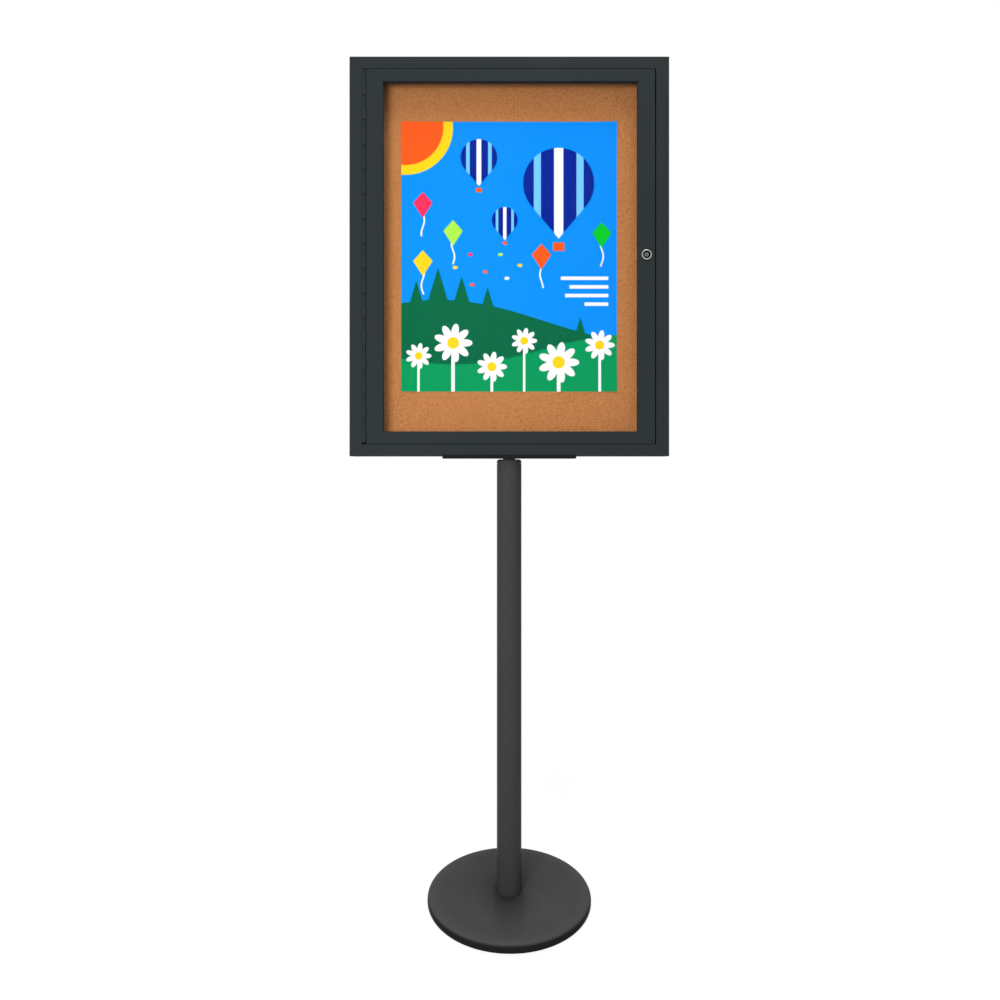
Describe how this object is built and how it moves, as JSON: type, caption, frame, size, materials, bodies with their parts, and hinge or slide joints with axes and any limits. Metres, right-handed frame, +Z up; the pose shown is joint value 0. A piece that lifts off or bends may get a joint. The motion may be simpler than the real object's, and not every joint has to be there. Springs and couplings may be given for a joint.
{
  "type": "lockable notice board",
  "caption": "Shallow glazed pinboard cabinet with a piano-hinged locking door, standing on a round post with a weighted disc base.",
  "frame": {"origin": "on the floor under the centre of the disc base, on the axis of the post", "axes": "+Z up along the post, -Y out of the front of the cabinet, +X to the viewer's right, towards the lock"},
  "size_m": [0.6096, 0.316, 1.624],
  "materials": {
    "frame_paint": "fine powder coat, slate charcoal, satin",
    "back_paint": "fine powder coat, slate charcoal, satin",
    "base_paint": "fine powder coat, dark graphite, satin",
    "plate_paint": "powder coat, black, satin",
    "iron": "as cast, primed",
    "zinc": "zinc plated",
    "nickel": "bright nickel plate",
    "rubber": "matte",
    "cork": "natural fine cork grain",
    "fibreboard": "plain pressed fibre",
    "poster": "printed paper, satin",
    "glazing": "clear, flat"
  },
  "bodies": {
    "cabinet": {"floor_ring": "rubber", "base_weight": "iron", "base_cover": "base_paint", "base_washer": "zinc", "base_bolt": "zinc", "pole_tube": "base_paint", "pole_foot_plug": "iron", "pole_top_cap": "plate_paint", "head_plate": "plate_paint", "plate_bolt": "zinc", "plate_screw_1": "plate_paint", "plate_screw_2": "plate_paint", "plate_screw_3": "plate_paint", "plate_screw_4": "plate_paint", "cabinet_left_stile": "frame_paint", "cabinet_right_stile": "frame_paint", "cabinet_bottom_rail": "frame_paint", "cabinet_top_rail": "frame_paint", "cabinet_key_lower_left": "zinc", "cabinet_key_lower_right": "zinc", "cabinet_key_upper_left": "zinc", "cabinet_key_upper_right": "zinc", "cork_sheet": "cork", "backing_board": "fibreboard", "poster": "poster", "back_panel": "back_paint", "back_screw_1": "zinc", "back_screw_2": "zinc", "back_screw_3": "zinc", "back_screw_4": "zinc", "back_screw_5": "zinc", "back_screw_6": "zinc", "back_screw_7": "zinc", "back_screw_8": "zinc", "door_seal": "rubber", "hinge_cabinet_leaf": "frame_paint", "hinge_pin": "zinc"},
    "door": {"hinge_door_leaf": "frame_paint", "door_left_stile": "frame_paint", "door_right_stile": "frame_paint", "door_bottom_rail": "frame_paint", "door_top_rail": "frame_paint", "door_key_lower_left": "zinc", "door_key_lower_right": "zinc", "door_key_upper_left": "zinc", "door_key_upper_right": "zinc", "glazing": "glazing", "glazing_gasket": "rubber", "lock_body": "nickel", "lock_nut": "zinc"},
    "lock_cylinder": {"lock_plug": "nickel", "lock_cam": "zinc", "cam_screw": "zinc"}
  },
  "joints": [
    {"name": "door_swing", "type": "hinge", "parent": "cabinet", "child": "door", "pos_m": [-0.2767, -0.0273, 1.243], "axis": [0, 0, -1], "range_deg": [0, 170]},
    {"name": "lock_turn", "type": "hinge", "parent": "door", "child": "lock_cylinder", "pos_m": [0.2616, -0.0269, 1.246], "axis": [0, -1, 0], "range_deg": [0, 90]}
  ]
}
